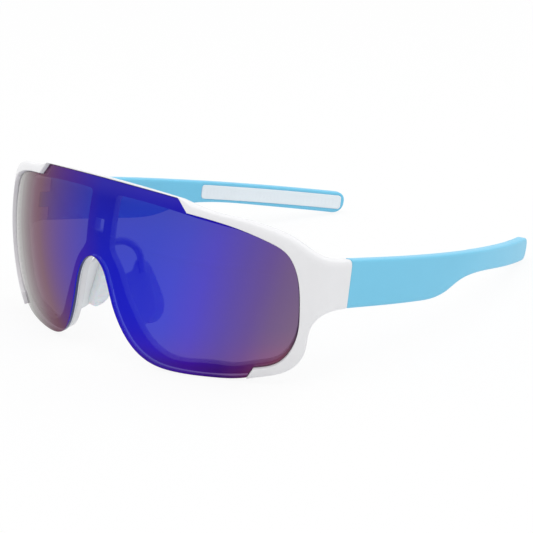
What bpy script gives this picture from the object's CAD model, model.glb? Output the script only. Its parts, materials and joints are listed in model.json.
"""Wraparound sport sunglasses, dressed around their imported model.

The wearing frame used here has its origin at the centre of the ball that the lens is cut from, with
+X to the wearer's left, +Y back to the ears and +Z up, in millimetres. Stance carries it to the table.
"""

from __future__ import annotations

import json
import logging
from dataclasses import dataclass, field
from enum import Enum
from typing import Callable, Sequence

import bmesh
import bpy
import numpy as np
from mathutils import Matrix, Vector, geometry
from numpy.typing import NDArray

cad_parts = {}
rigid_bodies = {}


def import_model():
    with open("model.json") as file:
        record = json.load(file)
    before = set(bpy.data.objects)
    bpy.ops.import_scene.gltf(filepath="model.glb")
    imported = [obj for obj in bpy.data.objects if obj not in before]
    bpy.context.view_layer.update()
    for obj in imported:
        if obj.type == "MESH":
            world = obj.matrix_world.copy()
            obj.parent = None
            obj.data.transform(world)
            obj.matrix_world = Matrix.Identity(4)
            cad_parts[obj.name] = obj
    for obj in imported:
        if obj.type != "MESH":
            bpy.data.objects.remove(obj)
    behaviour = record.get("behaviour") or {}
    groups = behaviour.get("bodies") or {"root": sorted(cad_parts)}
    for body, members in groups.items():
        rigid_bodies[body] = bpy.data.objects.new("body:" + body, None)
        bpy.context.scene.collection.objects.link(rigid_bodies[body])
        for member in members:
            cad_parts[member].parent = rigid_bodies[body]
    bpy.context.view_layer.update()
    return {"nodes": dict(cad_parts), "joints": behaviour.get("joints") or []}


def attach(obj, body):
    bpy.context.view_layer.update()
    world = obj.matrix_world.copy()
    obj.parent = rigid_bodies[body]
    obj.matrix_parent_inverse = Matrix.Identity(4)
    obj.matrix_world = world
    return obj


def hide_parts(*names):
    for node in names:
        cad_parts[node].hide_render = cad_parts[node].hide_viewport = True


Array = NDArray[np.float64]
Numbers = NDArray[np.int64]
Shell = tuple[Array, Numbers]
Heights = Callable[[Array], Array]
Colour = tuple[float, float, float, float]
Stops = tuple[tuple[float, Colour], ...]
Piece = bpy.types.Object
Tree = bpy.types.NodeTree
Shader = bpy.types.ShaderNodeBsdfPrincipled
Output = bpy.types.NodeSocket
Term = Output | float | Colour  # what an input of a node takes
log = logging.getLogger("sunglasses")
MM = 0.001
CUT_MARGIN = 1.02  # a sample this little past a corner's cut is dropped with it
ROW_HEIGHT = 0.866  # height of a triangle whose sides are 1


class Side(Enum):
    """The wearer's side that a piece sits on; its value is the sign of X."""

    LEFT = 1
    RIGHT = -1

    @property
    def suffix(self) -> str:
        """Ending of the node names on this side."""
        return self.name.lower()


# ---- frame
@dataclass(frozen=True)
class Stance:
    """How the glasses lie on the table.

    A point is turned about X by the tilt, then shifted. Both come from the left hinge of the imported
    model, whose axis is upright in the wearing frame.

    Attributes:
        tilt: turn about X, in radians.
        shift: what is added after the turn, in millimetres, (3,).
    """

    tilt: float
    shift: Array

    @classmethod
    def from_joint(cls, joint: dict, pivot: Sequence[float]) -> "Stance":
        """Solve the stance from one hinge.

        Args:
            joint: the hinge's entry in the frame, with its axis and place at rest.
            pivot: the same place in the wearing frame, in millimetres.

        Returns:
            The stance that carries the pivot on to the joint.
        """
        _, back, up = joint["axis"]
        tilt = float(np.arctan2(back, up))
        turned = cls(tilt, np.zeros(3)).millimetres(np.array([pivot], float))[0]
        return cls(tilt, np.array(joint["pos_m"]) / MM - turned)

    def millimetres(self, points: Array) -> Array:
        """Points of the wearing frame on the table.

        Args:
            points: in millimetres, (n, 3).

        Returns:
            The same points as they lie, in millimetres, (n, 3).
        """
        c, s = np.cos(self.tilt), np.sin(self.tilt)
        x, y, z = np.asarray(points, float).T
        return np.stack([x, y * c + z * s, z * c - y * s], axis=1) + self.shift

    def metres(self, points: Array) -> Array:
        """Points of the wearing frame on the table, in metres."""
        return self.millimetres(points) * MM


# ---- curves
def spline(
    points: Sequence[Sequence[float]],
    start: Sequence[float] | None = None,
    end: Sequence[float] | None = None,
    step: float = 0.5,
) -> Array:
    """Smooth curve through points.

    Formula: cubic spans over the chord length, with equal first and second derivatives where they
    meet. An end without a direction has no second derivative.

    Args:
        points: the places that the curve passes through, (n, 2).
        start: direction at the first point.
        end: direction at the last point.
        step: distance between the samples.

    Returns:
        Samples along the curve, (m, 2).
    """
    p = np.array(points, float)
    n = len(p)
    h = np.linalg.norm(np.diff(p, axis=0), axis=1)
    slopes = np.diff(p, axis=0) / h[:, None]
    system = np.zeros((n, n))
    right = np.zeros((n, 2))
    inner = np.arange(1, n - 1)
    system[inner, inner - 1] = 1 / h[:-1]
    system[inner, inner] = 2 / h[:-1] + 2 / h[1:]
    system[inner, inner + 1] = 1 / h[1:]
    right[inner] = 3 * (slopes[:-1] / h[:-1, None] + slopes[1:] / h[1:, None])
    for row, other, way, slope in ((0, 1, start, slopes[0]), (n - 1, n - 2, end, slopes[-1])):
        if way is None:
            system[row, row], system[row, other] = 2, 1
            right[row] = 3 * slope
        else:
            system[row, row] = 1
            right[row] = np.array(way, float) / np.linalg.norm(way)
    m = np.linalg.solve(system, right)
    counts = np.maximum(2, np.ceil(h / step).astype(int))
    span = np.repeat(np.arange(n - 1), counts)
    local = np.concatenate([np.arange(k) / k for k in counts])[:, None]
    a, b, ha = p[span], p[span + 1], h[span][:, None]
    ma, mb = m[span] * ha, m[span + 1] * ha
    t2, t3 = local**2, local**3
    curve = (2 * t3 - 3 * t2 + 1) * a + (t3 - 2 * t2 + local) * ma
    curve += (3 * t2 - 2 * t3) * b + (t3 - t2) * mb
    return np.vstack([curve, p[-1:]])


def straight(start: Sequence[float], end: Sequence[float], step: float = 0.5) -> Array:
    """Samples along a straight line, both ends included.

    Args:
        start: first point.
        end: last point.
        step: greatest distance between two samples.

    Returns:
        The samples, one to a row.
    """
    a, b = np.array(start, float), np.array(end, float)
    count = max(2, int(np.ceil(np.linalg.norm(b - a) / step)) + 1)
    return a + (b - a) * np.linspace(0, 1, count)[:, None]


def arc(centre: Sequence[float], radius: float, start: float, end: float, count: int) -> Array:
    """Samples along an arc about a centre, from one angle to the other in radians, both included."""
    turn = np.linspace(start, end, count)
    return np.array(centre) + radius * np.stack([np.cos(turn), np.sin(turn)], axis=1)


def circle(centre: Sequence[float], radius: float, count: int) -> Array:
    """Samples round a whole circle, each place once."""
    return arc(centre, radius, 0.0, 2 * np.pi, count + 1)[:-1]


def chain(*runs: Array) -> Array:
    """Runs joined end to end, with the point that two runs share kept once.

    Args:
        *runs: curves, each of samples one to a row.

    Returns:
        All samples in order.
    """
    kept = [runs[0]]
    for run in runs[1:]:
        kept.append(run[1:] if np.allclose(run[0], kept[-1][-1], atol=1e-6) else run)
    return np.vstack(kept)


def mirrored(points: Array) -> Array:
    """Points carried to the other side of the middle, in the reverse order."""
    return points[::-1] * np.array([-1.0] + [1.0] * (points.shape[1] - 1))


def rounded(loop: Array, corner: Sequence[float], radius: float, count: int = 9) -> Array:
    """Closed loop with one corner rounded.

    Formula: the points within the cut length of the corner give way to an arc that touches both
    sides there.

    Args:
        loop: closed loop, its first point not repeated, (n, 2).
        corner: where the corner is.
        radius: radius of the arc.
        count: samples along the arc.

    Returns:
        The loop with its arc.
    """
    at = int(np.argmin(np.linalg.norm(loop - np.array(corner), axis=1)))
    turned = np.roll(loop, -at, axis=0)
    tip, ahead, behind = turned[0], turned[1] - turned[0], turned[-1] - turned[0]
    ahead, behind = ahead / np.linalg.norm(ahead), behind / np.linalg.norm(behind)
    half = np.arccos(np.clip(ahead @ behind, -1, 1)) / 2
    cut = radius / np.tan(half)
    away = np.linalg.norm(turned - tip, axis=1)
    middle = tip + (ahead + behind) / np.linalg.norm(ahead + behind) * radius / np.sin(half)
    first, last = tip + behind * cut - middle, tip + ahead * cut - middle
    turn = np.arctan2(first[0] * last[1] - first[1] * last[0], first @ last)
    angles = np.linspace(0, turn, count)[:, None]
    bend = middle + first * np.cos(angles) + np.array([-first[1], first[0]]) * np.sin(angles)
    return np.vstack([bend, turned[away > cut * CUT_MARGIN]])


def anticlockwise(loop: Array) -> Array:
    """The closed loop, turned round if it runs clockwise.

    Args:
        loop: closed loop, its first point not repeated, (n, 2).

    Returns:
        The same points, anticlockwise.
    """
    x, y = loop.T
    area = np.sum(x * np.roll(y, -1) - y * np.roll(x, -1))
    return loop if area > 0 else loop[::-1]


def turning(points: Array, triangles: Numbers) -> Array:
    """Twice the area of each triangle, below zero where it runs clockwise."""
    a, b, c = (points[triangles[:, k]] for k in range(3))
    return (b[:, 0] - a[:, 0]) * (c[:, 1] - a[:, 1]) - (b[:, 1] - a[:, 1]) * (c[:, 0] - a[:, 0])


def bands(points: Array, rows: int = 400) -> list[Numbers]:
    """Neighbouring points in groups: strips across, each cut into lengths.

    Args:
        points: (n, 2).
        rows: about how many points go into a group.

    Returns:
        The indices of each group's points.
    """
    order = np.argsort(points[:, 1])
    groups = []
    for strip in np.array_split(order, max(1, int(np.sqrt(len(points) / rows)))):
        strip = strip[np.argsort(points[strip, 0])]
        groups += np.array_split(strip, max(1, len(strip) // rows))
    return [group for group in groups if len(group)]


def to_line(points: Array, line: Array, reach: float = 4.0) -> Array:
    """Distance from each point to a polyline, the least over its segments.

    Args:
        points: (n, 2).
        line: (m, 2).
        reach: a greater distance than this may be given as infinite.

    Returns:
        The distances, (n,).
    """
    a, b = line[:-1], line[1:]
    low, high = np.minimum(a, b) - reach, np.maximum(a, b) + reach
    best = np.full(len(points), np.inf)
    for part in bands(points):
        group = points[part]
        near = (low <= group.max(0)).all(1) & (high >= group.min(0)).all(1)
        if near.any():
            start, run = a[near], (b - a)[near]
            length2 = np.maximum((run**2).sum(1), 1e-12)
            gap = group[:, None] - start[None]
            t = np.clip((gap * run).sum(2) / length2, 0, 1)
            best[part] = np.sqrt(((gap - t[..., None] * run) ** 2).sum(2)).min(1)
    return best


def inside(points: Array, loop: Array) -> NDArray[np.bool_]:
    """Whether each point is inside a closed loop, by how often a ray along +X crosses it.

    Args:
        points: (n, 2).
        loop: closed loop, its first point not repeated, (m, 2).

    Returns:
        True for the points inside, (n,).
    """
    a, b = loop, np.roll(loop, -1, axis=0)
    rise = b[:, 1] - a[:, 1]
    slope = (b[:, 0] - a[:, 0]) / np.where(np.abs(rise) < 1e-12, 1e-12, rise)
    low, high = np.minimum(a[:, 1], b[:, 1]), np.maximum(a[:, 1], b[:, 1])
    result = np.zeros(len(points), bool)
    for part in bands(points):
        x, y = points[part, 0][:, None], points[part, 1][:, None]
        near = (high >= y.min()) & (low <= y.max())
        start, tilt, first, last = a[near], slope[near], a[near, 1], b[near, 1]
        crossing = start[:, 0] + (y - start[:, 1]) * tilt
        spans = (first > y) != (last > y)
        result[part] = (spans & (x < crossing)).sum(1) % 2 == 1
    return result


def closed(loop: Array) -> Array:
    """The loop with its first point repeated at the end, as a polyline."""
    return np.vstack([loop, loop[:1]])


# ---- moulding
@dataclass
class Face:
    """One broad side of a moulding.

    Attributes:
        edges: (polyline, radius) pairs that the side is rounded down to.
        floor_edges: (polyline, radius) pairs that round the recess's floor.
        lip: radius round the mouth of the recess.
    """

    height: Heights
    edges: list[tuple[Array, float]] = field(default_factory=list)
    recess: Array | None = None
    floor: Heights | None = None
    floor_edges: list[tuple[Array, float]] = field(default_factory=list)
    lip: float = 0.2


RING_ANGLES = np.radians([12.0, 26.0, 42.0, 60.0, 90.0])
RING_SHARE = 0.9  # a ring's point that comes closer to the edge than this share is dropped
ROOM_SHARE = 0.45  # the part of a strip's width that one rounded edge may take
APART = 0.03  # extra points keep this far from every loop
NET_APART = (0.45, 0.6)  # the net keeps these shares of its spacing and of the widest ring away
SAME_PLACE = 1e-4  # points this close become one
NO_AREA = 1e-7  # a triangle below this is left out


def level(height: float) -> Heights:
    """Side that stands at the same height everywhere."""
    return lambda points: np.full(len(points), height)


def ribs(along: Array, pitch: float) -> Array:
    """1 + cos of a wave, which is 0 on top of each rib."""
    return 1 + np.cos(2 * np.pi * along / pitch)


def drop(points: Array, edges: list[tuple[Array, float]], room: Array | None = None) -> Array:
    """How far a rounded side falls below its flat height.

    Formula: at distance d inside an edge of radius r, r - sqrt(r^2 - (r - d)^2), the quarter circle
    that meets the side wall and the broad side. Of several edges the deepest counts.

    Args:
        points: places over the outline.
        edges: (polyline, radius) pairs.
        room: local width, of which an edge takes no more than ROOM_SHARE.

    Returns:
        The fall at each point.
    """
    result = np.zeros(len(points))
    for line, radius in edges:
        r = np.full(len(points), radius) if room is None else np.minimum(radius, ROOM_SHARE * room)
        d = np.clip(to_line(points, line), 0, r)
        result = np.maximum(result, r - np.sqrt(np.maximum(r**2 - (r - d) ** 2, 0)))
    return result


def shifted(loop: Array, distance: float | Array) -> Array:
    """Closed loop moved to its left, along the mean normal of each corner.

    Args:
        loop: closed loop, its first point not repeated, (n, 2).
        distance: how far, either one number or a column with one for each point, (n, 1).

    Returns:
        The moved loop, (n, 2).
    """
    ahead = np.roll(loop, -1, axis=0) - np.roll(loop, 1, axis=0)
    ahead /= np.maximum(np.linalg.norm(ahead, axis=1), 1e-9)[:, None]
    return loop + distance * np.stack([-ahead[:, 1], ahead[:, 0]], axis=1)


def ring_points(loop: Array, radius: float, both: bool = False) -> Array:
    """Extra points beside an edge, at the distances where its quarter circle needs them.

    Args:
        loop: the edge, anticlockwise, (n, 2).
        radius: the quarter circle's radius.
        both: whether points are wanted on both sides of the edge, and not on its left alone.

    Returns:
        The points, (m, 2).
    """
    rings = []
    for distance in radius * (1 - np.cos(RING_ANGLES)):
        for sign in (1, -1) if both else (1,):
            ring = shifted(loop, sign * distance)
            rings.append(ring[to_line(ring, closed(loop)) > RING_SHARE * distance])
    return np.vstack(rings)


def lattice(low: Array, high: Array, spacing: float) -> Array:
    """Triangular lattice of points that covers a rectangle.

    Args:
        low: its lower left corner.
        high: its upper right corner.
        spacing: distance between neighbours.

    Returns:
        The points, (n, 2).
    """
    rows = np.arange(low[1], high[1], spacing * ROW_HEIGHT)
    columns = np.arange(low[0], high[0], spacing)
    x, y = np.meshgrid(columns, rows)
    x = x + (np.arange(len(rows)) % 2)[:, None] * spacing / 2
    return np.stack([x.ravel(), y.ravel()], axis=1)


def neighbours(triangles: Numbers, count: int) -> tuple[Numbers, Numbers, Numbers, Numbers]:
    """Every edge as its triangle runs round it, with the triangle on its other side.

    Args:
        triangles: (m, 3).
        count: number of points that they join.

    Returns:
        Each edge's first and last point, its own triangle, and the triangle beyond it or -1.
    """
    edges = triangles[:, [0, 1, 1, 2, 2, 0]].reshape(-1, 2)
    owner = np.repeat(np.arange(len(triangles)), 3)
    key = edges[:, 0].astype(np.int64) * count + edges[:, 1]
    reverse = edges[:, 1].astype(np.int64) * count + edges[:, 0]
    order = np.argsort(key)
    found = np.clip(np.searchsorted(key[order], reverse), 0, len(key) - 1)
    other = np.where(key[order][found] == reverse, owner[order][found], -1)
    return edges[:, 0], edges[:, 1], owner, other


@dataclass
class Sheet:
    """One broad side of a moulding as it stands in the mesh.

    Attributes:
        ids: vertex numbers of the filling's points, (2, n): on the face and on the recess's floor.
        region: for each triangle 0 where it lies on the face, 1 where it lies on the floor.
    """

    ids: Numbers
    region: Numbers

    def at(self, triangle: Numbers, point: Numbers) -> Numbers:
        """Vertex numbers of points as corners of the given triangles."""
        return self.ids[self.region[triangle], point]

    def step(self, owner: Numbers, other: Numbers) -> NDArray[np.bool_]:
        """Where an edge lies between a triangle on the face and one on the floor."""
        return (other >= 0) & (self.region[owner] == 0) & (self.region[other] == 1)


@dataclass
class Moulding:
    """A plate between two broad sides, cut to an outline with holes, with rounded edges.

    Formula: the outline is filled with triangles; each triangle is carried on to the front and the
    back side by place(point, height), and walls join the two sides round the outline, round the
    holes and down into the recesses.

    Attributes:
        outline: closed loop, its first point not repeated.
        place: carries (points, heights) to the wearing frame.
        holes: closed loops that are left open.
        rings: (closed loop, radius) pairs beside which the surface needs extra points.
        spacing: distance between the points of the filling.
    """

    outline: Array
    front: Face
    back: Face
    place: Callable[[Array, Array], Array]
    holes: list[Array] = field(default_factory=list)
    rings: list[tuple[Array, float]] = field(default_factory=list)
    spacing: float = 2.0

    def loops(self) -> list[Array]:
        """Every closed loop that triangles may not cross.

        Returns:
            Outline, holes and recesses, each anticlockwise.
        """
        found = [self.outline, *self.holes]
        found += [side.recess for side in (self.front, self.back) if side.recess is not None]
        return [anticlockwise(loop) for loop in found]

    def filling(self) -> Shell:
        """Points and triangles that fill the outline.

        Returns:
            The points, (n, 2), and the triangles, (m, 3), all anticlockwise.
        """
        loops = self.loops()
        lines = [closed(loop) for loop in loops]
        extra = np.vstack([ring_points(anticlockwise(loop), radius, True) for loop, radius in self.rings])
        extra = extra[inside(extra, self.outline)]
        extra = extra[np.min([to_line(extra, line) for line in lines], axis=0) > APART]
        net = lattice(self.outline.min(0), self.outline.max(0), self.spacing)
        clear = np.min([to_line(net, line) for line in lines], axis=0)
        reach = max(radius for _, radius in self.rings)
        net = net[clear > NET_APART[0] * self.spacing + NET_APART[1] * reach]
        points = np.vstack([*loops, extra, net])
        starts = np.cumsum([0] + [len(loop) for loop in loops])
        edges = []
        for start, loop in zip(starts, loops):
            ids = np.arange(len(loop)) + start
            edges += np.stack([ids, np.roll(ids, -1)], axis=1).tolist()
        out = geometry.delaunay_2d_cdt([Vector(p) for p in points], edges, [], 0, SAME_PLACE, False)
        uv = np.array([tuple(v) for v in out[0]])
        triangles = np.array([f for f in out[2] if len(f) == 3])
        centre = uv[triangles].mean(1)
        keep = inside(centre, self.outline)
        for hole in self.holes:
            keep &= ~inside(centre, hole)
        triangles = triangles[keep]
        turn = turning(uv, triangles)
        triangles[turn < 0] = triangles[turn < 0][:, ::-1]
        return uv, triangles[np.abs(turn) > NO_AREA]

    def side_heights(self, side: Face, uv: Array, sign: int) -> Array:
        """Heights of one broad side, for its face and for its recess.

        Args:
            side: the front or the back.
            uv: the filling's points.
            sign: -1 where rounding lowers the height, +1 where it raises it.

        Returns:
            Two rows of heights, (2, n): face, then recess floor.
        """
        if side.recess is None:
            heights = side.height(uv) + sign * drop(uv, side.edges)
            return np.stack([heights, heights])
        mouth = closed(side.recess)
        outer = np.min([to_line(uv, line) for line, _ in side.edges], axis=0)
        room = outer + to_line(uv, mouth)
        face = side.height(uv) + sign * drop(uv, [*side.edges, (mouth, side.lip)], room)
        return np.stack([face, side.floor(uv) + sign * drop(uv, side.floor_edges)])

    def sheet(self, side: Face, sign: int, uv: Array, triangles: Numbers, first: int) -> tuple[Sheet, Array]:
        """One broad side's part of the mesh.

        Args:
            side: the front or the back.
            sign: -1 for the front, +1 for the back.
            uv: the filling's points.
            triangles: the filling's triangles.
            first: number of the side's first vertex.

        Returns:
            The side's table of vertices, and the vertices in the wearing frame.
        """
        heights = self.side_heights(side, uv, sign)
        region = np.zeros(len(triangles), int)
        if side.recess is not None:
            region = inside(uv[triangles].mean(1), side.recess).astype(int)
        ids = np.full((2, len(uv)), -1)
        vertices = []
        for k in (0, 1):
            used = np.unique(triangles[region == k])
            ids[k, used] = first + np.arange(len(used))
            first += len(used)
            vertices.append(self.place(uv[used], heights[k, used]))
        return Sheet(ids, region), np.vstack(vertices)

    def build(self) -> Shell:
        """Closed mesh of the moulding.

        Returns:
            Its vertices in the wearing frame and its triangles.
        """
        uv, triangles = self.filling()
        front, outer = self.sheet(self.front, -1, uv, triangles, 0)
        back, inner = self.sheet(self.back, 1, uv, triangles, len(outer))
        every = np.arange(len(triangles))[:, None]
        faces = [front.at(every, triangles), back.at(every, triangles)[:, ::-1]]
        i, j, owner, other = neighbours(triangles, len(uv))
        rim = other < 0
        fi, fj = front.at(owner, i)[rim], front.at(owner, j)[rim]
        bi, bj = back.at(owner, i)[rim], back.at(owner, j)[rim]
        faces += [np.stack([fi, bi, bj], axis=1), np.stack([fi, bj, fj], axis=1)]
        for sheet, high, low in ((front, 0, 1), (back, 1, 0)):
            step = sheet.step(owner, other)
            high_i, high_j = sheet.ids[high, i[step]], sheet.ids[high, j[step]]
            low_i, low_j = sheet.ids[low, i[step]], sheet.ids[low, j[step]]
            faces.append(np.stack([high_i, low_i, low_j], axis=1))
            faces.append(np.stack([high_i, low_j, high_j], axis=1))
        return np.vstack([outer, inner]), np.vstack(faces)


# ---- meshes
SHARP_ANGLE = np.radians(38.0)


def new_piece(name: str, vertices: Array, faces: Numbers) -> Piece:
    """Mesh object from arrays, with smooth shading between its sharp edges.

    Args:
        name: the piece's name.
        vertices: in metres, in the row frame, (n, 3).
        faces: triangles or quads, (m, 3) or (m, 4).

    Returns:
        The object, linked to the scene.
    """
    mesh = bpy.data.meshes.new(name)
    width = faces.shape[1]
    mesh.vertices.add(len(vertices))
    mesh.vertices.foreach_set("co", vertices.astype(np.float32).ravel())
    mesh.loops.add(faces.size)
    mesh.loops.foreach_set("vertex_index", faces.astype(np.int32).ravel())
    mesh.polygons.add(len(faces))
    mesh.polygons.foreach_set("loop_start", np.arange(len(faces), dtype=np.int32) * width)
    mesh.update(calc_edges=True)
    mesh.validate()
    piece = bpy.data.objects.new(name, mesh)
    bpy.context.scene.collection.objects.link(piece)
    smooth(piece)
    return piece


def smooth(piece: Piece) -> None:
    """Smooth shading, broken only at edges sharper than SHARP_ANGLE."""
    piece.data.shade_smooth()
    piece.data.set_sharp_from_angle(angle=SHARP_ANGLE)


def tube(path: Array, radii: Array, sides: int = 24) -> Shell:
    """Round bar along a path, with flat ends.

    Formula: at each path point a circle of the given radius stands square to the path, turned from
    one point to the next without twist, and each end closes on its own middle.

    Args:
        path: centreline, (n, 3).
        radii: radius at each point, (n,).
        sides: points round the circle.

    Returns:
        Vertices and triangles.
    """
    ahead = np.gradient(path, axis=0)
    ahead /= np.linalg.norm(ahead, axis=1)[:, None]
    normal = np.zeros_like(ahead)
    seed = np.cross(ahead[0], [0.0, 0.0, 1.0] if abs(ahead[0, 2]) < 0.9 else [1.0, 0.0, 0.0])
    for k, way in enumerate(ahead):
        seed = seed - way * (seed @ way)
        seed = seed / np.linalg.norm(seed)
        normal[k] = seed
    across = np.cross(ahead, normal)
    angle = np.linspace(0, 2 * np.pi, sides, endpoint=False)
    cosine, sine = np.cos(angle)[None, :, None], np.sin(angle)[None, :, None]
    rings = path[:, None] + (cosine * normal[:, None] + sine * across[:, None]) * radii[:, None, None]
    vertices = np.vstack([rings.reshape(-1, 3), path[:1], path[-1:]])
    k, s = np.meshgrid(np.arange(len(path) - 1), np.arange(sides), indexing="ij")
    a, b = k * sides + s, k * sides + (s + 1) % sides
    quads = np.stack([a, b, b + sides, a, b + sides, a + sides], axis=-1).reshape(-1, 3)
    ring = np.arange(sides)
    after = (ring + 1) % sides
    last = (len(path) - 1) * sides
    first_cap = np.stack([np.full(sides, len(vertices) - 2), after, ring], axis=1)
    last_cap = np.stack([np.full(sides, len(vertices) - 1), last + ring, last + after], axis=1)
    return vertices, np.vstack([quads, first_cap, last_cap])


def prism(plan: Array, bottom: float, top: float) -> Shell:
    """Upright prism over a closed plan outline.

    Args:
        plan: the outline seen from above, (n, 2).
        bottom: height of its lower end.
        top: height of its upper end.

    Returns:
        Vertices and triangles.
    """
    loop = anticlockwise(plan)
    n = len(loop)
    low = np.column_stack([loop, np.full(n, bottom)])
    high = np.column_stack([loop, np.full(n, top)])
    ring = np.arange(n)
    after = (ring + 1) % n
    walls = np.vstack([
        np.stack([ring, after, after + n], axis=1),
        np.stack([ring, after + n, ring + n], axis=1),
    ])
    cap = np.array(geometry.tessellate_polygon([[Vector((*p, 0.0)) for p in loop]]))
    clockwise = turning(loop, cap) < 0
    cap[clockwise] = cap[clockwise][:, ::-1]
    return np.vstack([low, high]), np.vstack([walls, cap[:, ::-1], cap + n])


def cut_flat(piece: Piece, point: Array, normal: Array) -> None:
    """Cuts a closed mesh off at a plane and closes it there.

    Args:
        piece: the mesh, in metres.
        point: a place on the plane.
        normal: direction of what is cut away.
    """
    mesh = bmesh.new()
    mesh.from_mesh(piece.data)
    everything = [*mesh.verts, *mesh.edges, *mesh.faces]
    cut = bmesh.ops.bisect_plane(
        mesh, geom=everything, dist=1e-7, plane_co=point, plane_no=normal, clear_outer=True
    )
    border = [item for item in cut["geom_cut"] if isinstance(item, bmesh.types.BMEdge)]
    bmesh.ops.triangle_fill(mesh, use_beauty=True, edges=[e for e in border if e.is_boundary])
    bmesh.ops.recalc_face_normals(mesh, faces=mesh.faces)
    mesh.to_mesh(piece.data)
    mesh.free()


def carve(piece: Piece, tools: list[Piece], union: bool = False) -> None:
    """Takes closed tools out of a closed mesh, or joins them on, and throws the tools away.

    Args:
        piece: the mesh that is changed.
        tools: the bodies to take out or to join on.
        union: whether they are joined on.
    """
    for tool in tools:
        step = piece.modifiers.new("carve", "BOOLEAN")
        step.operation = "UNION" if union else "DIFFERENCE"
        step.solver = "EXACT"
        step.object = tool
    evaluated = piece.evaluated_get(bpy.context.evaluated_depsgraph_get())
    carved = bpy.data.meshes.new_from_object(evaluated)
    piece.modifiers.clear()
    old = piece.data
    piece.data = carved
    bpy.data.meshes.remove(old)
    for tool in tools:
        bpy.data.objects.remove(tool)
    smooth(piece)


# ---- shape
@dataclass(frozen=True)
class Shape:
    """Main sizes of the glasses, in millimetres, as in the model.

    Attributes:
        rim_proud: how far the frame's outer side stands in front of the lens.
        pivot: the left hinge's axis, (x, y).
        slot_heights: lower and upper side of the slot in the lug.
        knuckle_radius: half the width of the tongue that turns in it.
    """

    lens_radius: float = 102.0
    lens_back: float = 100.0
    seat: float = 99.97
    rim_back: float = 97.37
    rim_proud: float = 1.2
    half_width: float = 71.0
    lug_thickness: float = 3.5
    corner_radius: float = 11.0
    joint_y: float = -61.6
    joint_gap: float = 0.06
    pivot: tuple[float, float] = (68.75, -65.1)
    slot_heights: tuple[float, float] = (-6.1, -0.8)
    knuckle_radius: float = 1.25
    knuckle_heights: tuple[float, float] = (-6.0, -0.9)
    joint_top: float = 4.1
    joint_bottom: float = -10.9

    def ball(self, flat: Array) -> Array:
        """Outline-plane places as distances round the lens's ball, across and up.

        Formula: the ray (u, -R, v) has the two angles atan2(u, R) and atan2(v, hypot(u, R)), and
        each is multiplied by R.

        Args:
            flat: places (u, v) in the plane at distance R in front of the ball's centre, (n, 2).

        Returns:
            Distances across and up, (n, 2).
        """
        u, v = flat.T
        r = self.lens_radius
        return r * np.stack([np.arctan2(u, r), np.arctan2(v, np.hypot(u, r))], axis=1)

    def rays(self, across_up: Array) -> Array:
        """Unit rays from the ball's centre for distances round the ball."""
        a, e = (across_up / self.lens_radius).T
        return np.stack([np.sin(a) * np.cos(e), -np.cos(a) * np.cos(e), np.sin(e)], axis=1)

    def place(self, across_up: Array, height: Array) -> Array:
        """Points of the wearing frame at given distances from the ball's centre."""
        return self.rays(across_up) * height[:, None]

    def skin(self, radius: float, half_width: float, corner: float) -> Heights:
        """Distance from the ball's centre to a ball that is flattened at both sides.

        Formula: along a ray (p, q), p across and q square to it, the ball itself is at its radius,
        the flat side at half_width / p, and the round corner between them where the ray leaves the
        circle about (half_width - corner, sqrt((radius - corner)^2 - (half_width - corner)^2)).

        Args:
            radius: the ball's radius.
            half_width: distance from the middle to each flat side.
            corner: radius of the corner between ball and side.

        Returns:
            A function that gives the distance for places round the ball.
        """
        cx = half_width - corner
        cq = float(np.sqrt((radius - corner) ** 2 - cx**2))

        def height(across_up: Array) -> Array:
            """The distance along each ray, by the formula above.

            Args:
                across_up: places round the ball, (n, 2).

            Returns:
                The distances, (n,).
            """
            ray = self.rays(across_up)
            p, q = np.abs(ray[:, 0]), np.hypot(ray[:, 1], ray[:, 2])
            b = p * cx + q * cq
            corner_reach = b + np.sqrt(np.maximum(b**2 - (cx**2 + cq**2 - corner**2), 0))
            wall = half_width / np.maximum(p, 1e-6)
            result = np.where(p * cq > q * cx, corner_reach, radius)
            return np.where(p * cq > q * half_width, wall, result)

        return height


SHAPE = Shape()


def flats(points: Sequence[Sequence[float]]) -> Array:
    """Outline-plane places of points in the wearing frame.

    Args:
        points: (x, z) of points on the lens's front, or (x, y, z) of any points.

    Returns:
        Where the rays from the ball's centre through them meet the outline plane, (n, 2).
    """
    r = SHAPE.lens_radius
    rows = []
    for p in points:
        y = p[1] if len(p) == 3 else -np.sqrt(r**2 - p[0] ** 2 - p[1] ** 2)
        rows.append((p[0] * r / -y, p[-1] * r / -y))
    return np.array(rows)


def from_side(points: Sequence[Sequence[float]], back: bool = False) -> list[tuple[float, ...]]:
    """Points whose x is measured inwards from the hinge's side.

    Args:
        points: (inset, z), or (inset, back, z) with back measured from the lens's foremost point.
        back: whether the points carry that second distance.

    Returns:
        (x, z) or (x, y, z) of each in the wearing frame.
    """
    if back:
        return [(SHAPE.half_width - i, b - SHAPE.lens_radius, z) for i, b, z in points]
    return [(SHAPE.half_width - i, z) for i, z in points]


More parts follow.
